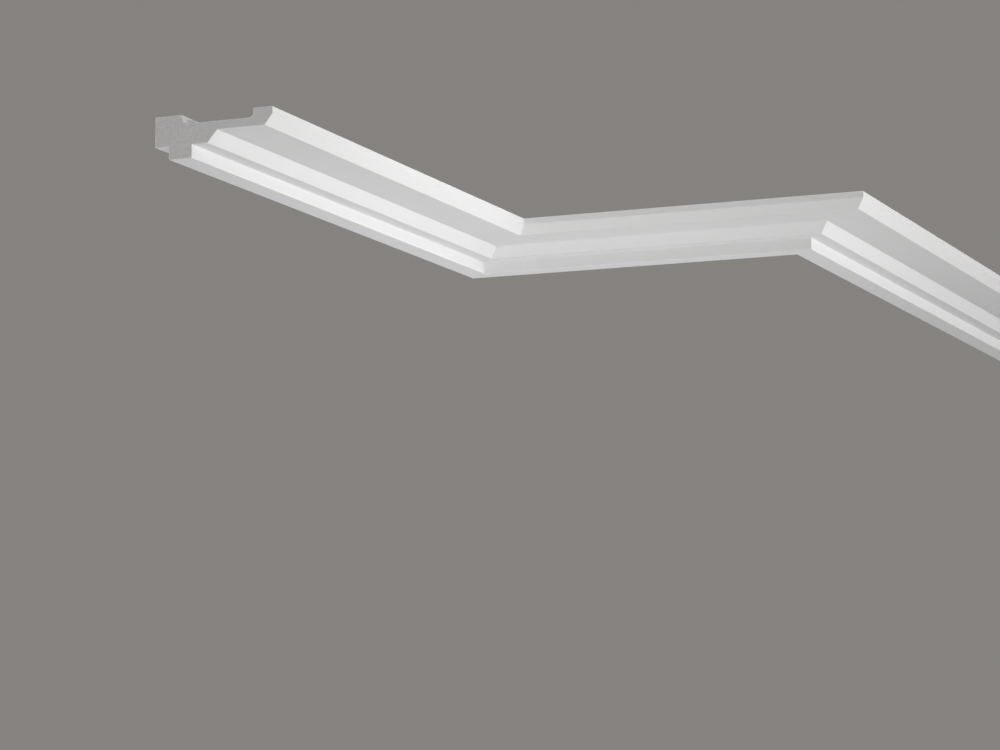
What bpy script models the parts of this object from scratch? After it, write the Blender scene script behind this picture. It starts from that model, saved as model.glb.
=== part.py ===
"""A ceiling cornice in three mitred lengths that turn one inner and one outer corner.

Metres, +Z up, as the cornice is fixed: the ceiling plane is z = 0 and the moulding hangs below it. The back
wall runs along X and faces -Y. A side wall comes towards -Y from its left end, and another goes off towards
+Y from its right end, both facing +X. The origin is on the ceiling plane, at the centre of the middle
length's pad by the wall.

Each length is a bar of one profile, extruded in its own frame and sawn at both ends. In that frame X runs
along the wall from left to right as seen from the room, the wall face is y = 0 and the room is at -Y.
"""

import math

import bmesh
import bpy
from mathutils import Matrix, Vector

# How far each length runs along its wall, from wall corner to wall corner or to a square cut
LEFT_RUN = 0.700
MIDDLE_RUN = 0.374
RIGHT_RUN = 0.900

# Widths of the profile's members, from the wall outwards
SHADOW_GAP_WIDTH = 0.0145
NOSE_WIDTH = 0.0235
SMALL_SOFFIT_WIDTH = 0.016
LOWER_BEVEL_WIDTH = 0.010
SOFFIT_WIDTH = 0.048
UPPER_BEVEL_WIDTH = 0.008

# Heights of the profile's members, from the ceiling downwards
LIP_HEIGHT = 0.0065
UPPER_BEVEL_HEIGHT = 0.010
LOWER_BEVEL_HEIGHT = 0.0115
NOSE_HEIGHT = 0.0127
WALL_FACE_HEIGHT = 0.0285

# The pocket in the ceiling side, between the pad by the wall and the pad behind the lip. Its side by the
# wall leans by the draft.
WALL_PAD_WIDTH = 0.027
LIP_PAD_WIDTH = 0.0195
POCKET_DEPTH = 0.0085
POCKET_DRAFT = 0.002
POCKET_FILLET_RADIUS = 0.005
POCKET_FILLET_STEPS = 6

# The eased edges of the faces that show
ARRIS_RADIUS = 0.0006
ARRIS_STEPS = 2

# The glue line left between two mitred ends, and how much longer than its run a bar is before it is sawn
JOINT_GAP = 0.0003
SAW_ALLOWANCE = 0.010

# How a cut leans: its outward side is square to the bar, turned to the room or turned to the wall
SQUARE, INNER_MITRE, OUTER_MITRE = 0, -1, 1

PROJECTION = (
    SHADOW_GAP_WIDTH + NOSE_WIDTH + SMALL_SOFFIT_WIDTH + LOWER_BEVEL_WIDTH + SOFFIT_WIDTH + UPPER_BEVEL_WIDTH
)
SOFFIT_LEVEL = LIP_HEIGHT + UPPER_BEVEL_HEIGHT
SMALL_SOFFIT_LEVEL = SOFFIT_LEVEL + LOWER_BEVEL_HEIGHT
NOSE_LEVEL = SMALL_SOFFIT_LEVEL + NOSE_HEIGHT

PRIMER_COLOUR = (0.80, 0.80, 0.80, 1.0)
PRIMER_ROUGHNESS = 0.55


def eased_corner(before, corner, after, radius, steps):
    """The points of an arc in place of a corner, tangent to both of its edges."""
    to_before = (before - corner).normalized()
    to_after = (after - corner).normalized()
    half_angle = to_before.angle(to_after) / 2
    reach = radius / math.tan(half_angle)
    centre = corner + (to_before + to_after).normalized() * (radius / math.sin(half_angle))
    first = corner + to_before * reach - centre
    last = corner + to_after * reach - centre
    turn = math.atan2(first.cross(last), first.dot(last))
    return [centre + Matrix.Rotation(turn * i / steps, 2) @ first for i in range(steps + 1)]


def profile_corners():
    """The profile's corners in order.

    Each is its point (out from the wall, down from the ceiling), its easing radius and the easing's steps.
    """
    sharp = (0.0, 0)
    arris = (ARRIS_RADIUS, ARRIS_STEPS)
    fillet = (POCKET_FILLET_RADIUS, POCKET_FILLET_STEPS)
    nose_back = SHADOW_GAP_WIDTH
    nose_front = nose_back + NOSE_WIDTH
    small_soffit_front = nose_front + SMALL_SOFFIT_WIDTH
    soffit_back = small_soffit_front + LOWER_BEVEL_WIDTH
    soffit_front = soffit_back + SOFFIT_WIDTH
    pocket_front = PROJECTION - LIP_PAD_WIDTH
    return [
        ((0.0, 0.0), *sharp),
        ((WALL_PAD_WIDTH, 0.0), *sharp),
        ((WALL_PAD_WIDTH + POCKET_DRAFT, POCKET_DEPTH), *fillet),
        ((pocket_front, POCKET_DEPTH), *fillet),
        ((pocket_front, 0.0), *sharp),
        ((PROJECTION, 0.0), *arris),
        ((PROJECTION, LIP_HEIGHT), *arris),
        ((soffit_front, SOFFIT_LEVEL), *arris),
        ((soffit_back, SOFFIT_LEVEL), *sharp),
        ((small_soffit_front, SMALL_SOFFIT_LEVEL), *arris),
        ((nose_front, SMALL_SOFFIT_LEVEL), *sharp),
        ((nose_front, NOSE_LEVEL), *arris),
        ((nose_back, NOSE_LEVEL), *arris),
        ((nose_back, WALL_FACE_HEIGHT), *sharp),
        ((0.0, WALL_FACE_HEIGHT), *arris),
    ]


def profile_outline():
    """The closed outline of the profile, as points (out from the wall, down from the ceiling)."""
    corners = [(Vector(point), radius, steps) for point, radius, steps in profile_corners()]
    outline = []
    for i, (corner, radius, steps) in enumerate(corners):
        if not radius:
            outline.append(corner)
            continue
        before = corners[i - 1][0]
        after = corners[(i + 1) % len(corners)][0]
        outline += eased_corner(before, corner, after, radius, steps)
    return outline


def saw(bar, at, facing, lean, kerf):
    """Cuts the bar through its wall line at x = at, keeps the side away from facing, and closes the cut."""
    outward = Vector((facing, lean, 0.0)).normalized()
    cut = bmesh.ops.bisect_plane(
        bar,
        geom=bar.verts[:] + bar.edges[:] + bar.faces[:],
        plane_co=Vector((at, 0.0, 0.0)) - outward * kerf,
        plane_no=outward,
        clear_outer=True,
    )
    sawn_edges = [item for item in cut["geom_cut"] if isinstance(item, bmesh.types.BMEdge)]
    bmesh.ops.contextual_create(bar, geom=sawn_edges)


def moulding_mesh(name, run, left_cut, right_cut):
    """A length of moulding along +X, whose wall face is run long."""
    bar = bmesh.new()
    blank_start = -PROJECTION - SAW_ALLOWANCE
    blank_end = run + PROJECTION + SAW_ALLOWANCE
    ring = [bar.verts.new((blank_start, -point.x, -point.y)) for point in profile_outline()]
    face = bar.faces.new(ring)
    extruded = bmesh.ops.extrude_face_region(bar, geom=[face])
    moved = [item for item in extruded["geom"] if isinstance(item, bmesh.types.BMVert)]
    bmesh.ops.translate(bar, verts=moved, vec=(blank_end - blank_start, 0.0, 0.0))
    for at, facing, lean in ((0.0, -1, left_cut), (run, 1, right_cut)):
        kerf = JOINT_GAP / 2 if lean != SQUARE else 0.0
        saw(bar, at, facing, lean, kerf)
    bmesh.ops.recalc_face_normals(bar, faces=bar.faces[:])
    mesh = bpy.data.meshes.new(name)
    bar.to_mesh(mesh)
    bar.free()
    return mesh


def primed_material(name):
    """The white primer that the moulding is sold in."""
    material = bpy.data.materials.new(name)
    material.use_nodes = True
    shader = material.node_tree.nodes["Principled BSDF"]
    shader.inputs["Base Color"].default_value = PRIMER_COLOUR
    shader.inputs["Roughness"].default_value = PRIMER_ROUGHNESS
    shader.inputs["Metallic"].default_value = 0.0
    return material


def add_length(name, run, left_cut, right_cut, start, turn, ceiling_plane):
    """One length, with the left end of its wall face at start, turned about Z from the back wall's line."""
    mesh = moulding_mesh(name, run, left_cut, right_cut)
    mesh.materials.append(primed_material(name + "_primer"))
    length = bpy.data.objects.new(name, mesh)
    bpy.context.scene.collection.objects.link(length)
    length.parent = ceiling_plane
    length.location = start
    length.rotation_euler = (0.0, 0.0, turn)
    return length


def build():
    """Clears the scene and hangs the three lengths from the ceiling plane."""
    for leftover in list(bpy.data.objects):
        bpy.data.objects.remove(leftover)
    ceiling_plane = bpy.data.objects.new("ceiling_plane", None)
    bpy.context.scene.collection.objects.link(ceiling_plane)
    back_wall = WALL_PAD_WIDTH / 2
    inner_corner = Vector((-MIDDLE_RUN / 2, back_wall, 0.0))
    outer_corner = Vector((MIDDLE_RUN / 2, back_wall, 0.0))
    left_start = inner_corner - Vector((0.0, LEFT_RUN, 0.0))
    side_turn = math.radians(90)
    add_length("left_length", LEFT_RUN, SQUARE, INNER_MITRE, left_start, side_turn, ceiling_plane)
    add_length("middle_length", MIDDLE_RUN, INNER_MITRE, OUTER_MITRE, inner_corner, 0.0, ceiling_plane)
    add_length("right_length", RIGHT_RUN, OUTER_MITRE, SQUARE, outer_corner, side_turn, ceiling_plane)


build()
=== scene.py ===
"""Looks for a white stepped ceiling cornice: three mitred lengths, primed, with sawn ends.

Metres, +Z up. The ceiling plane is z = 0 and the moulding hangs below it. The middle length runs along X,
the side lengths along Y, and the origin is at the centre of the middle length's pad by the wall.
"""

from __future__ import annotations

import logging
import math
from dataclasses import dataclass, field
from enum import Enum
from typing import Mapping, Sequence, Union

import bmesh
import bpy
from mathutils import Euler, Matrix, Vector

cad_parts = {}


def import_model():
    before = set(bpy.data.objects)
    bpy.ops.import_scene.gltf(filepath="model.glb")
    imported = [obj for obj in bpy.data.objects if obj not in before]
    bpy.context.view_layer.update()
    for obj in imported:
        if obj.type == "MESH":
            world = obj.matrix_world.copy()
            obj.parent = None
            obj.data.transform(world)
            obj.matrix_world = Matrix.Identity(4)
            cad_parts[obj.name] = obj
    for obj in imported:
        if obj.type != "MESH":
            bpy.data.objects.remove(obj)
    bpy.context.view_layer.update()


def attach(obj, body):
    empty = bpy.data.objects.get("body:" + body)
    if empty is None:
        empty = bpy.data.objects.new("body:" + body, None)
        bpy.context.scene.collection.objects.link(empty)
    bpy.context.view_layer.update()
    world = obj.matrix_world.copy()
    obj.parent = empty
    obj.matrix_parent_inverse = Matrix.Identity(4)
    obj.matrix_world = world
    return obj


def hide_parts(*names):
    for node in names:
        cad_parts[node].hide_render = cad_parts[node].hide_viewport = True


Colour = tuple[float, float, float]
Point = tuple[float, float, float]
Span = tuple[float, float]
Feed = Union["Signal", float, int, Sequence[float]]

LOG = logging.getLogger("cornice")
BODY = "root"

# The Mix node's colour sockets by number, because its number and vector sockets have the same names
MIX_SHARE, MIX_FIRST, MIX_SECOND, MIX_RESULT = 0, 6, 7, 2


class Cut(Enum):
    """How a length's end is sawn: square, or mitred at 45 degrees for an inner or an outer wall corner."""

    SQUARE = 0
    INNER = -1
    OUTER = 1


class Axis(Enum):
    """The row axis that a length runs along, as the turn about Z that brings X onto it."""

    X = 0.0
    Y = math.pi / 2


class Face(Enum):
    """What a face of a length shows, as its material slot."""

    PRIMED = 0
    BACK = 1
    SAWN = 2
    # The pale rim round a sawn end: partly the moulded skin, partly a painted highlight of the rounded
    # edge.
    SKIN = 3


@dataclass(frozen=True)
class Noise:
    """A smooth noise: its lumps to a metre, how many finer layers it has and how strong those are."""

    per_metre: float
    detail: float = 2.0
    roughness: float = 0.5


@dataclass(frozen=True)
class Signal:
    """An output socket in a shader graph, with arithmetic that adds Math nodes."""

    graph: "ShaderGraph"
    socket: bpy.types.NodeSocket

    def math(self, operation: str, first: Feed, second: Feed) -> "Signal":
        """Adds one Math node.

        Args:
            operation: The Math node's operation.
            first: Its first value or link.
            second: Its second value or link.

        Returns:
            The node's result.
        """
        return self.graph.add("ShaderNodeMath", {"operation": operation}, {0: first, 1: second})

    def __add__(self, other: Feed) -> "Signal":
        """This plus other."""
        return self.math("ADD", self, other)

    def __radd__(self, other: Feed) -> "Signal":
        """Other plus this."""
        return self.math("ADD", other, self)

    def __sub__(self, other: Feed) -> "Signal":
        """This minus other."""
        return self.math("SUBTRACT", self, other)

    def __rsub__(self, other: Feed) -> "Signal":
        """Other minus this."""
        return self.math("SUBTRACT", other, self)

    def __mul__(self, other: Feed) -> "Signal":
        """This times other."""
        return self.math("MULTIPLY", self, other)

    def __rmul__(self, other: Feed) -> "Signal":
        """Other times this."""
        return self.math("MULTIPLY", other, self)


@dataclass
class ShaderGraph:
    """A material's node tree around one Principled BSDF."""

    material: bpy.types.Material
    shader: bpy.types.Node = field(init=False)

    def __post_init__(self) -> None:
        """Turns the nodes on and finds the shader."""
        self.material.use_nodes = True
        self.shader = self.material.node_tree.nodes["Principled BSDF"]

    def feed(self, socket: bpy.types.NodeSocket, value: Feed) -> None:
        """Sets or links one input socket.

        Args:
            socket: The socket to fill.
            value: A signal to link, or a plain value.
        """
        if isinstance(value, Signal):
            self.material.node_tree.links.new(value.socket, socket)
        else:
            socket.default_value = value

    def add(
        self,
        kind: str,
        settings: Mapping[str, object] | None = None,
        inputs: Mapping[int | str, Feed] | None = None,
        output: int | str = 0,
    ) -> Signal:
        """Adds one node.

        Args:
            kind: The node's type.
            settings: Its settings, with a ramp's two stops as {position: grey level}.
            inputs: Values or links, by socket name or number.
            output: The output that is returned.

        Returns:
            The chosen output.
        """
        node = self.material.node_tree.nodes.new(kind)
        for name, value in (settings or {}).items():
            if name == "stops":
                self.set_stops(node.color_ramp, value)
            else:
                setattr(node, name, value)
        for name, value in (inputs or {}).items():
            self.feed(node.inputs[name], value)
        return Signal(self, node.outputs[output])

    @staticmethod
    def set_stops(ramp: bpy.types.ColorRamp, stops: Mapping[float, float]) -> None:
        """Sets the two stops of a new ramp.

        Args:
            ramp: The ramp.
            stops: A grey level for each position, in order.
        """
        for stop, (position, grey) in zip(ramp.elements, stops.items()):
            stop.position = position
            stop.color = (grey, grey, grey, 1.0)

    def place(self, turn: Axis, stretch: Point = (1.0, 1.0, 1.0)) -> Signal:
        """Coordinates in metres that follow a length's run.

        Args:
            turn: The axis that the length runs along.
            stretch: The factor along the run, across it and up.

        Returns:
            The coordinates as a vector.
        """
        here = self.add("ShaderNodeTexCoord", output="Object")
        turned = self.add(
            "ShaderNodeVectorRotate",
            {"rotation_type": "Z_AXIS"},
            {"Vector": here, "Angle": -turn.value},
        )
        return self.add("ShaderNodeVectorMath", {"operation": "MULTIPLY"}, {0: turned, 1: stretch})

    def noise(self, where: Signal, noise: Noise) -> Signal:
        """A smooth noise from 0 to 1 over the surface.

        Args:
            where: Coordinates in metres.
            noise: How coarse and how strong it is.

        Returns:
            The noise.
        """
        inputs = {
            "Vector": where,
            "Scale": noise.per_metre,
            "Detail": noise.detail,
            "Roughness": noise.roughness,
        }
        return self.add("ShaderNodeTexNoise", {}, inputs)

    def ramp(self, value: Signal, span: Span) -> Signal:
        """A grey ramp.

        Args:
            value: The value that it turns into a grey level.
            span: The values up to which it is black and from which it is white.

        Returns:
            The grey level.
        """
        black, white = span
        return self.add("ShaderNodeValToRGB", {"stops": {black: 0.0, white: 1.0}}, {"Fac": value})

    def blend(self, share: Feed, first: Feed, second: Feed) -> Signal:
        """Mixes two colours.

        Args:
            share: How much of the second shows.
            first: The first colour.
            second: The second colour.

        Returns:
            The mixed colour.
        """
        inputs = {MIX_SHARE: share, MIX_FIRST: first, MIX_SECOND: second}
        return self.add("ShaderNodeMix", {"data_type": "RGBA"}, inputs, MIX_RESULT)

    def bump(self, height: Signal, distance: float, under: Signal | None = None) -> Signal:
        """A relief of real height.

        Args:
            height: The relief from 0 to 1.
            distance: How high 1 is, in metres.
            under: A relief that this one lies on.

        Returns:
            The normal.
        """
        inputs: dict[int | str, Feed] = {"Height": height, "Distance": distance, "Strength": 1.0}
        if under is not None:
            inputs["Normal"] = under
        return self.add("ShaderNodeBump", {}, inputs)

    def finish(self, **inputs: Feed) -> bpy.types.Material:
        """Feeds the shader's own sockets, named with _ for a space, and returns the material."""
        for name, value in inputs.items():
            self.feed(self.shader.inputs[name.replace("_", " ")], value)
        return self.material


def opaque(colour: Colour) -> tuple[float, float, float, float]:
    """A colour with full alpha."""
    return (*colour, 1.0)


@dataclass(frozen=True)
class PrimerFinish:
    """Factory primer on the moulded faces that show: matt white, with fine orange peel and faint flecks."""

    name: str
    run: Axis
    white: Colour = (0.799, 0.800, 0.801)
    shaded: Colour = (0.763, 0.764, 0.763)
    fleck: Colour = (0.638, 0.639, 0.636)
    gloss: float = 0.2
    streak_stretch: Point = (0.12, 1.0, 1.0)
    clouds: Noise = Noise(14.0, 3.0)
    streaks: Noise = Noise(260.0)
    peel: Noise = Noise(700.0)
    drift: Noise = Noise(30.0, 1.0)
    flecks: Noise = Noise(420.0, 1.0)
    fleck_span: Span = (0.735, 0.765)
    tone_span: Span = (0.35, 0.65)
    cloud_share: float = 0.6
    shading: float = 0.35
    flecking: float = 0.35
    roughness: float = 0.70
    peel_roughness: float = 0.10
    cloud_roughness: float = 0.06
    peel_height: float = 0.00003
    drift_height: float = 0.00008

    def material(self) -> bpy.types.Material:
        """The finish as a material."""
        graph = ShaderGraph(bpy.data.materials.new(self.name))
        even = graph.place(self.run)
        drawn = graph.place(self.run, self.streak_stretch)
        cloud = graph.noise(even, self.clouds)
        streak = graph.noise(drawn, self.streaks)
        peel = graph.noise(even, self.peel)
        drift = graph.noise(drawn, self.drift)
        fleck = graph.ramp(graph.noise(even, self.flecks), self.fleck_span)
        tone = graph.ramp(cloud * self.cloud_share + streak * (1 - self.cloud_share), self.tone_span)
        coat = graph.blend(tone * self.shading, opaque(self.white), opaque(self.shaded))
        colour = graph.blend(fleck * self.flecking, coat, opaque(self.fleck))
        waves = graph.bump(drift, self.drift_height)
        normal = graph.bump(peel, self.peel_height, waves)
        rough = self.roughness + peel * self.peel_roughness + cloud * self.cloud_roughness
        return graph.finish(
            Base_Color=colour, Roughness=rough, Normal=normal, Specular_IOR_Level=self.gloss
        )


@dataclass(frozen=True)
class BackFinish:
    """The bare skin of the pads, the pocket and the wall face: greyer, drawn in streaks along the run."""

    name: str
    run: Axis
    skin: Colour = (0.730, 0.729, 0.722)
    rubbed: Colour = (0.800, 0.799, 0.793)
    streak_stretch: Point = (0.06, 1.0, 1.0)
    streaks: Noise = Noise(420.0, 3.0, 0.6)
    patches: Noise = Noise(22.0, 3.0)
    grain: Noise = Noise(900.0)
    tone_span: Span = (0.38, 0.62)
    streak_share: float = 0.5
    roughness: float = 0.62
    patch_roughness: float = 0.16
    refraction: float = 1.46
    grain_height: float = 0.00006

    def material(self) -> bpy.types.Material:
        """The finish as a material."""
        graph = ShaderGraph(bpy.data.materials.new(self.name))
        even = graph.place(self.run)
        drawn = graph.place(self.run, self.streak_stretch)
        streak = graph.noise(drawn, self.streaks)
        patch = graph.noise(even, self.patches)
        grain = graph.noise(even, self.grain)
        tone = graph.ramp(streak * self.streak_share + patch * (1 - self.streak_share), self.tone_span)
        colour = graph.blend(tone, opaque(self.skin), opaque(self.rubbed))
        lines = graph.bump(streak, self.grain_height)
        normal = graph.bump(grain, self.grain_height, lines)
        rough = self.roughness + patch * self.patch_roughness
        return graph.finish(Base_Color=colour, Roughness=rough, Normal=normal, IOR=self.refraction)


@dataclass(frozen=True)
class CoreFinish:
    """The sawn core: fine closed cells with the saw's scores across it, and painted shade in the cell
    hollows and open pores.
    """

    name: str
    core: Colour = (0.700, 0.700, 0.698)
    # The darker colour carries painted shade in the cell hollows and open pores, and random blotches of
    # real tone.
    shade_and_blotch_colour: Colour = (0.560, 0.559, 0.555)
    score_stretch: Point = (0.08, 0.08, 1.0)
    cells_per_metre: float = 1500.0
    blotches: Noise = Noise(90.0, 3.0)
    scores: Noise = Noise(260.0)
    open_cells: Noise = Noise(1100.0, 1.0)
    wall_span: Span = (0.15, 0.55)
    open_span: Span = (0.55, 0.70)
    hollow_shade: float = 0.25
    open_shade: float = 0.45
    blotch_shade: float = 0.25
    roughness: float = 0.82
    blotch_roughness: float = 0.12
    refraction: float = 1.45
    cell_depth: float = 0.00022
    score_depth: float = 0.00012

    def material(self) -> bpy.types.Material:
        """The finish as a material."""
        graph = ShaderGraph(bpy.data.materials.new(self.name))
        here = graph.place(Axis.X)
        scored = graph.place(Axis.X, self.score_stretch)
        cells = graph.add(
            "ShaderNodeTexVoronoi",
            {"feature": "F1"},
            {"Vector": here, "Scale": self.cells_per_metre, "Randomness": 1.0},
            "Distance",
        )
        wall = graph.ramp(cells, self.wall_span)
        blotch = graph.noise(here, self.blotches)
        score = graph.noise(scored, self.scores)
        open_cell = graph.ramp(graph.noise(here, self.open_cells), self.open_span)
        # Painted shade: the cell hollows and open pores are darkened towards the darker colour; the
        # blotches are random tone.
        shade_and_blotch = (1 - wall) * self.hollow_shade + open_cell * self.open_shade + blotch * self.blotch_shade
        colour = graph.blend(shade_and_blotch, opaque(self.core), opaque(self.shade_and_blotch_colour))
        scored_face = graph.bump(score, self.score_depth)
        normal = graph.bump(wall - open_cell, self.cell_depth, scored_face)
        rough = self.roughness + blotch * self.blotch_roughness
        return graph.finish(Base_Color=colour, Roughness=rough, Normal=normal, IOR=self.refraction)


@dataclass(frozen=True)
class Rounding:
    """How a corner is rounded: its radius, and how many steps its arc has."""

    radius: float
    steps: int


@dataclass(frozen=True)
class Corner:
    """One corner of the profile: out from the wall, down from the ceiling, its rounding, the next face."""

    out: float
    down: float
    rounding: Rounding
    face: Face

    def point(self) -> Vector:
        """Where it is, before it is rounded."""
        return Vector((self.out, self.down))


@dataclass(frozen=True)
class OutlinePoint:
    """A point of the outline: on the surface, under the skin beside it, and what the next face shows."""

    surface: Vector
    core: Vector
    face: Face


@dataclass(frozen=True)
class Profile:
    """The cornice's section, from the wall outwards and from the ceiling downwards."""

    shadow_gap_width: float = 0.0145
    nose_width: float = 0.0235
    small_soffit_width: float = 0.016
    lower_bevel_width: float = 0.010
    soffit_width: float = 0.048
    upper_bevel_width: float = 0.008
    lip_height: float = 0.0065
    upper_bevel_height: float = 0.010
    lower_bevel_height: float = 0.0115
    nose_height: float = 0.0127
    wall_face_height: float = 0.0285
    wall_pad_width: float = 0.027
    lip_pad_width: float = 0.0195
    pocket_depth: float = 0.0085
    pocket_draft: float = 0.002
    pocket_fillet: Rounding = Rounding(0.005, 10)
    arris: Rounding = Rounding(0.0006, 6)
    quirk: Rounding = Rounding(0.0005, 5)
    burr: Rounding = Rounding(0.0002, 3)
    skin: float = 0.0005
    tangent_margin: float = 0.0002

    def corners(self) -> list[Corner]:
        """The corners in order, each with the kind of the face after it."""
        nose_back = self.shadow_gap_width
        nose_front = nose_back + self.nose_width
        small_soffit_front = nose_front + self.small_soffit_width
        soffit_back = small_soffit_front + self.lower_bevel_width
        soffit_front = soffit_back + self.soffit_width
        projection = soffit_front + self.upper_bevel_width
        pocket_back = self.wall_pad_width + self.pocket_draft
        pocket_front = projection - self.lip_pad_width
        soffit = self.lip_height + self.upper_bevel_height
        small_soffit = soffit + self.lower_bevel_height
        nose = small_soffit + self.nose_height
        return [
            Corner(0.0, 0.0, self.burr, Face.BACK),
            Corner(self.wall_pad_width, 0.0, self.burr, Face.BACK),
            Corner(pocket_back, self.pocket_depth, self.pocket_fillet, Face.BACK),
            Corner(pocket_front, self.pocket_depth, self.pocket_fillet, Face.BACK),
            Corner(pocket_front, 0.0, self.burr, Face.BACK),
            Corner(projection, 0.0, self.arris, Face.PRIMED),
            Corner(projection, self.lip_height, self.arris, Face.PRIMED),
            Corner(soffit_front, soffit, self.arris, Face.PRIMED),
            Corner(soffit_back, soffit, self.quirk, Face.PRIMED),
            Corner(small_soffit_front, small_soffit, self.arris, Face.PRIMED),
            Corner(nose_front, small_soffit, self.quirk, Face.PRIMED),
            Corner(nose_front, nose, self.arris, Face.PRIMED),
            Corner(nose_back, nose, self.arris, Face.PRIMED),
            Corner(nose_back, self.wall_face_height, self.quirk, Face.PRIMED),
            Corner(0.0, self.wall_face_height, self.arris, Face.BACK),
        ]

    def rounded(self, before: Corner, corner: Corner, after: Corner) -> list[OutlinePoint]:
        """The points of one rounded corner, with a margin point on each edge that keeps the flats flat.

        Args:
            before: The corner before it.
            corner: The corner.
            after: The corner after it.

        Returns:
            The points in order.
        """
        radius, steps = corner.rounding.radius, corner.rounding.steps
        here = corner.point()
        to_before = (before.point() - here).normalized()
        to_after = (after.point() - here).normalized()
        half = to_before.angle(to_after) / 2
        reach = radius / math.tan(half)
        centre = here + (to_before + to_after).normalized() * (radius / math.sin(half))
        first = here + to_before * reach - centre
        last = here + to_after * reach - centre
        turn = math.atan2(first.cross(last), first.dot(last))
        arc = [centre + Matrix.Rotation(turn * i / steps, 2) @ first for i in range(steps + 1)]
        points = [arc[0] + to_before * self.tangent_margin, *arc, arc[-1] + to_after * self.tangent_margin]
        into_before = Vector((to_before.y, -to_before.x))
        into_after = Vector((-to_after.y, to_after.x))
        outward = to_after.cross(to_before) > 0
        if outward and radius <= self.skin:
            reach_in = self.skin / (1 + into_before.dot(into_after))
            cores = [here + (into_before + into_after) * reach_in] * len(points)
        else:
            shrink = 1 + (-self.skin if outward else self.skin) / radius
            cores = [
                points[0] + into_before * self.skin,
                *(centre + (point - centre) * shrink for point in arc),
                points[-1] + into_after * self.skin,
            ]
        return [OutlinePoint(point, core, corner.face) for point, core in zip(points, cores)]

    def outline(self) -> list[OutlinePoint]:
        """The closed outline."""
        corners = self.corners()
        outline: list[OutlinePoint] = []
        for index, corner in enumerate(corners):
            outline += self.rounded(corners[index - 1], corner, corners[(index + 1) % len(corners)])
        return outline


@dataclass(frozen=True)
class CorniceLength:
    """One length of the cornice, from saw cut to saw cut along its wall."""

    node: str
    slot: str
    run: float
    axis: Axis
    start: Vector
    left_cut: Cut
    right_cut: Cut
    profile: Profile
    # The rim's pale colour is partly the skin and partly a painted edge highlight; its darker colour
    # carries painted shade in the pores and random blotches.
    rim_skin_and_highlight: Colour = (0.810, 0.810, 0.807)
    rim_shade_and_blotch: Colour = (0.760, 0.760, 0.757)
    joint_clearance: float = 0.00004
    bays: int = 30
    weld: float = 1e-6
    crease: float = math.radians(35)

    def end_of(self, cut: Cut, out: float) -> float:
        """How far past the wall line a cut leaves the bar, at a distance out from the wall."""
        clearance = self.joint_clearance if cut is not Cut.SQUARE else 0.0
        return cut.value * out - clearance

    def place(self, point: Vector, share: float) -> Vector:
        """A point of the section at a share of the way along the bar, in the bar's own frame."""
        low = -self.end_of(self.left_cut, point.x)
        high = self.run + self.end_of(self.right_cut, point.x)
        return Vector((low + (high - low) * share, -point.x, -point.y))

    def close_end(self, bar: bmesh.types.BMesh, ring: Sequence[bmesh.types.BMVert], share: float) -> None:
        """Closes a sawn end with its core and the skin round it, whose paler tone is partly the skin and
        partly a painted highlight of the rounded edge.

        Args:
            bar: The bar's mesh.
            ring: The bar's last ring of points there.
            share: Where the end is: 0 at the left, 1 at the right.
        """
        cores: list[bmesh.types.BMVert] = []
        for point in self.profile.outline():
            spot = self.place(point.core, share)
            if cores and (cores[-1].co - spot).length < self.weld:
                cores.append(cores[-1])
            else:
                cores.append(bar.verts.new(spot))
        for i, core in enumerate(cores):
            j = (i + 1) % len(cores)
            corners = dict.fromkeys((ring[i], ring[j], cores[j], core))
            bar.faces.new(corners).material_index = Face.SKIN.value
        bar.faces.new(dict.fromkeys(cores)).material_index = Face.SAWN.value

    def build(self) -> bpy.types.Object:
        """Makes the bar with its rounded arrises and closed ends, in place.

        Returns:
            The new object.
        """
        outline = self.profile.outline()
        bar = bmesh.new()
        shares = [i / self.bays for i in range(self.bays + 1)]
        rings = [[bar.verts.new(self.place(point.surface, share)) for point in outline] for share in shares]
        for near, far in zip(rings, rings[1:]):
            for i, point in enumerate(outline):
                j = (i + 1) % len(outline)
                face = bar.faces.new((near[i], near[j], far[j], far[i]))
                face.material_index = point.face.value
                face.smooth = True
        self.close_end(bar, rings[0], 0.0)
        self.close_end(bar, rings[-1], 1.0)
        bmesh.ops.recalc_face_normals(bar, faces=bar.faces[:])
        for edge in bar.edges:
            if edge.calc_face_angle(0.0) > self.crease:
                edge.smooth = False
        turned = Euler((0.0, 0.0, self.axis.value)).to_matrix().to_4x4()
        bmesh.ops.transform(bar, matrix=Matrix.Translation(self.start) @ turned, verts=bar.verts[:])
        mesh = bpy.data.meshes.new(self.node + "_moulding")
        bar.to_mesh(mesh)
        bar.free()
        piece = bpy.data.objects.new(self.node + "_moulding", mesh)
        bpy.context.scene.collection.objects.link(piece)
        return piece

    def dress(self, piece: bpy.types.Object) -> None:
        """Gives the piece its four finishes and its place in the frame.

        Args:
            piece: The object that build made.
        """
        finishes = {
            Face.PRIMED: PrimerFinish(self.slot, self.axis),
            Face.BACK: BackFinish(self.node + "_back", self.axis),
            Face.SAWN: CoreFinish(self.node + "_core"),
            # The rim is painted paler: partly the skin, partly a painted highlight of the rounded edge.
            Face.SKIN: CoreFinish(self.node + "_skin_and_highlight", core=self.rim_skin_and_highlight, shade_and_blotch_colour=self.rim_shade_and_blotch),
        }
        for kind in Face:
            piece.data.materials.append(finishes[kind].material())
        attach(piece, BODY)
        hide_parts(self.node)


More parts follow.
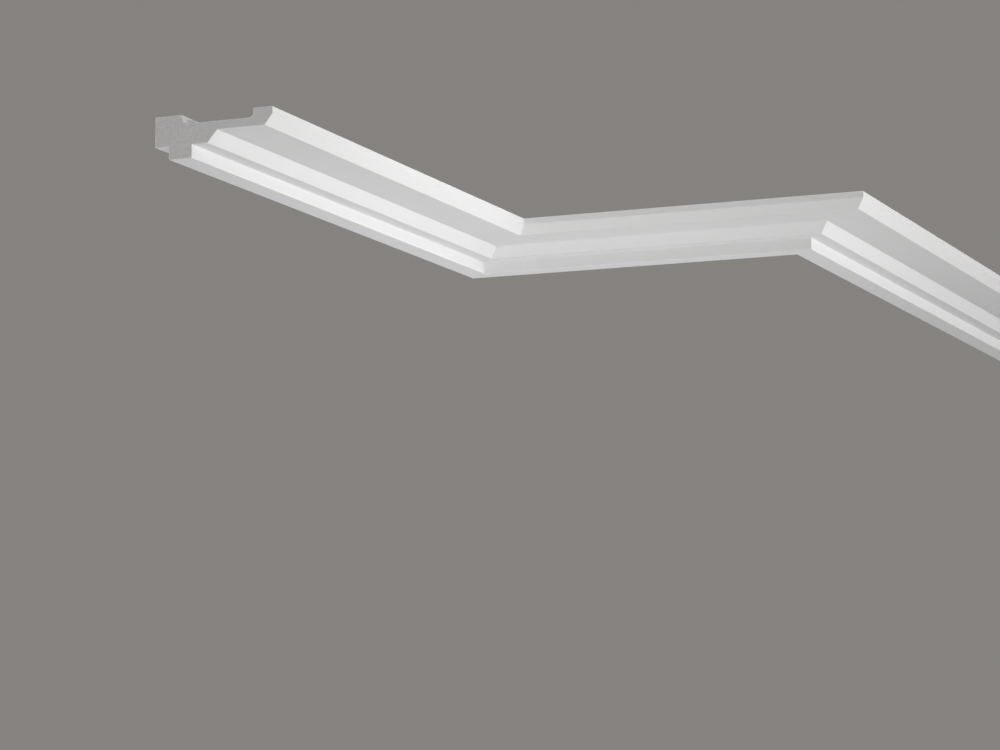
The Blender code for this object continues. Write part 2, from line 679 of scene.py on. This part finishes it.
@dataclass(frozen=True)
class Cornice:
    """The whole run: a left length, a middle length and a right length round two wall corners."""

    left_run: float = 0.700
    middle_run: float = 0.374
    right_run: float = 0.900
    profile: Profile = Profile()

    def lengths(self) -> list[CorniceLength]:
        """The three lengths, from left to right."""
        wall = self.profile.wall_pad_width / 2
        inner = Vector((-self.middle_run / 2, wall, 0.0))
        outer = Vector((self.middle_run / 2, wall, 0.0))
        return [
            CorniceLength(
                node="left_length",
                slot="left_primer",
                run=self.left_run,
                axis=Axis.Y,
                start=inner - Vector((0.0, self.left_run, 0.0)),
                left_cut=Cut.SQUARE,
                right_cut=Cut.INNER,
                profile=self.profile,
            ),
            CorniceLength(
                node="middle_length",
                slot="middle_primer",
                run=self.middle_run,
                axis=Axis.X,
                start=inner,
                left_cut=Cut.INNER,
                right_cut=Cut.OUTER,
                profile=self.profile,
            ),
            CorniceLength(
                node="right_length",
                slot="right_primer",
                run=self.right_run,
                axis=Axis.Y,
                start=outer,
                left_cut=Cut.OUTER,
                right_cut=Cut.SQUARE,
                profile=self.profile,
            ),
        ]


@dataclass(frozen=True)
class StudioLamp:
    """A lamp that hangs in the studio and is turned to a target."""

    name: str
    place: Point
    target: Point
    power: float

    def lamp(self) -> bpy.types.Light:
        """The lamp's own data, without its power."""
        raise NotImplementedError

    def hang(self) -> None:
        """Hangs the lamp and turns it to its target."""
        lamp = self.lamp()
        lamp.energy = self.power
        light = bpy.data.objects.new(self.name, lamp)
        bpy.context.scene.collection.objects.link(light)
        light.location = self.place
        aim = Vector(self.target) - Vector(self.place)
        light.rotation_euler = aim.to_track_quat("-Z", "Y").to_euler()
        light.visible_camera = False


@dataclass(frozen=True)
class SoftBox(StudioLamp):
    """A square, even soft box."""

    side: float = 1.2

    def lamp(self) -> bpy.types.Light:
        """A square area lamp."""
        lamp = bpy.data.lights.new(self.name, "AREA")
        lamp.shape = "SQUARE"
        lamp.size = self.side
        return lamp


@dataclass(frozen=True)
class SoftSpot(StudioLamp):
    """A round lamp whose pool fades out towards its edge."""

    spread: float
    radius: float = 0.3

    def lamp(self) -> bpy.types.Light:
        """A spot lamp with a wholly soft edge."""
        lamp = bpy.data.lights.new(self.name, "SPOT")
        lamp.spot_size = math.radians(self.spread)
        lamp.spot_blend = 1.0
        lamp.shadow_soft_size = self.radius
        return lamp


@dataclass(frozen=True)
class Studio:
    """The floor, the surrounding tone, the lights and the camera."""

    floor_level: float = -2.4
    floor_side: float = 60.0
    floor_colour: Colour = (0.78, 0.79, 0.80)
    floor_roughness: float = 0.8
    surround: Colour = (0.236, 0.226, 0.217)
    camera_place: Point = (1.24647, -3.21680, -0.65152)
    camera_turn: float = 0.40712
    camera_rise: float = 0.14227
    lens: float = 116.5
    sensor_width: float = 36.0
    sight: float = 200.0

    def add_floor(self) -> None:
        """Lays the pale floor."""
        sheet = bmesh.new()
        bmesh.ops.create_grid(sheet, x_segments=1, y_segments=1, size=self.floor_side / 2)
        mesh = bpy.data.meshes.new("studio_floor")
        sheet.to_mesh(mesh)
        sheet.free()
        floor = bpy.data.objects.new("studio_floor", mesh)
        bpy.context.scene.collection.objects.link(floor)
        floor.location = (0.0, 0.0, self.floor_level)
        graph = ShaderGraph(bpy.data.materials.new("pale_floor"))
        pale = graph.finish(Base_Color=opaque(self.floor_colour), Roughness=self.floor_roughness)
        mesh.materials.append(pale)

    def add_surround(self) -> None:
        """Fills the world with one even tone."""
        world = bpy.data.worlds.new("studio_surround")
        bpy.context.scene.world = world
        world.use_nodes = True
        world.node_tree.nodes["Background"].inputs["Color"].default_value = opaque(self.surround)

    @staticmethod
    def lamps() -> list[StudioLamp]:
        """The lamps.

        Returns:
            Soft boxes from the right, the walls' side and above, then soft pools on the front faces, the
            lip, the undersides, the sawn end and the back.
        """
        middle = (0.0, 0.0, -0.02)
        corner = (-0.2, -0.15, -0.02)
        return [
            SoftBox("right", (4.0, 0.2, -0.4), middle, 70.5),
            SoftBox("wall_side", (-2.4, -0.3, -1.6), middle, 15.8, side=2.0),
            SoftBox("top", (0.6, -0.6, 4.0), middle, 56.0, side=3.0),
            SoftBox("top_left", (-3.0, -0.6, 3.0), middle, 32.0, side=3.0),
            SoftSpot("front", (2.4, -3.0, -1.3), corner, 201.0, spread=24.0),
            SoftSpot("right_front", (3.6, -1.9, -0.5), (-0.25, -0.15, -0.02), 41.0, spread=20.0),
            SoftSpot("lip", (1.55, -0.55, 0.5), (-0.06, -0.28, -0.01), 14.2, spread=22.0, radius=0.15),
            SoftSpot("below_corner", (-0.3, -0.3, -2.3), (-0.2, -0.1, -0.02), 18.4, spread=34.0),
            SoftSpot("below_middle", (0.1, -0.1, -2.3), (0.08, -0.05, -0.02), 11.2, spread=16.0),
            SoftSpot("end", (-1.6, -2.2, -0.02), (-0.13, -0.69, -0.02), 24.0, spread=16.0, radius=0.1),
            SoftSpot("behind", (0.0, 3.5, -0.9), (0.06, -0.04, -0.04), 57.5, spread=12.0, radius=0.2),
            SoftSpot("top_back", (-2.5, 3.0, 2.5), (0.06, 0.11, 0.0), 220.0, spread=28.0, radius=0.6),
        ]

    def add_camera(self) -> None:
        """Sets the camera at the photograph's viewing angle."""
        data = bpy.data.cameras.new("camera")
        data.lens = self.lens
        data.sensor_width = self.sensor_width
        data.clip_end = self.sight
        camera = bpy.data.objects.new("camera", data)
        bpy.context.scene.collection.objects.link(camera)
        turn, rise = self.camera_turn, self.camera_rise
        level = math.cos(rise)
        ahead = Vector((-math.sin(turn) * level, math.cos(turn) * level, math.sin(rise)))
        camera.location = self.camera_place
        camera.rotation_euler = ahead.to_track_quat("-Z", "Y").to_euler()
        bpy.context.scene.camera = camera

    @staticmethod
    def keep_whites() -> None:
        """Shows tones as they are, with no film curve to grey the white primer."""
        bpy.context.scene.view_settings.view_transform = "Standard"
        bpy.context.scene.view_settings.look = "None"

    def build(self) -> None:
        """Sets up the whole studio."""
        self.keep_whites()
        self.add_floor()
        self.add_surround()
        for lamp in self.lamps():
            lamp.hang()
        self.add_camera()


def main() -> None:
    """Builds, dresses and lights the cornice."""
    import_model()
    for length in Cornice().lengths():
        piece = length.build()
        length.dress(piece)
        LOG.info("%s: %d faces", piece.name, len(piece.data.polygons))
    Studio().build()


if __name__ == "__main__":
    logging.basicConfig(level=logging.INFO, format="%(name)s %(message)s")
    main()
